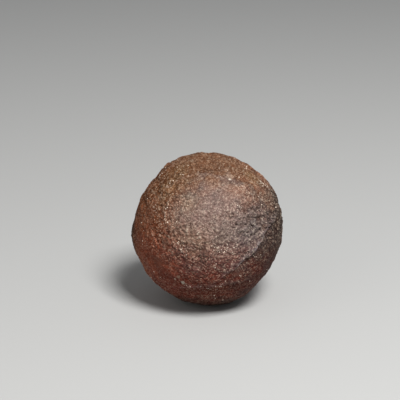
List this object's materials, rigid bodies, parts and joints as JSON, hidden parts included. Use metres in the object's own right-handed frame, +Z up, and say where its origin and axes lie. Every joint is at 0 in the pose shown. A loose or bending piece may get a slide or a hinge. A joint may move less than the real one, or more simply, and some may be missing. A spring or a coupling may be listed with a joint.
{
  "type": "moqui marble",
  "caption": "Round iron oxide concretion with a rough sandy crust, low ledges and pits, resting on a small flat spot.",
  "frame": {"origin": "middle of the stone's outline seen from above, on the plane that it rests on", "axes": "+Z up, -Y towards the face with the broad grey-brown patch, +X to that face's right"},
  "size_m": [0.0502, 0.0498, 0.0497],
  "materials": {
    "iron_oxide_crust": "rough sandy crust, dull with small glints"
  },
  "bodies": {
    "root": {"moqui_marble": "iron_oxide_crust"}
  },
  "joints": []
}
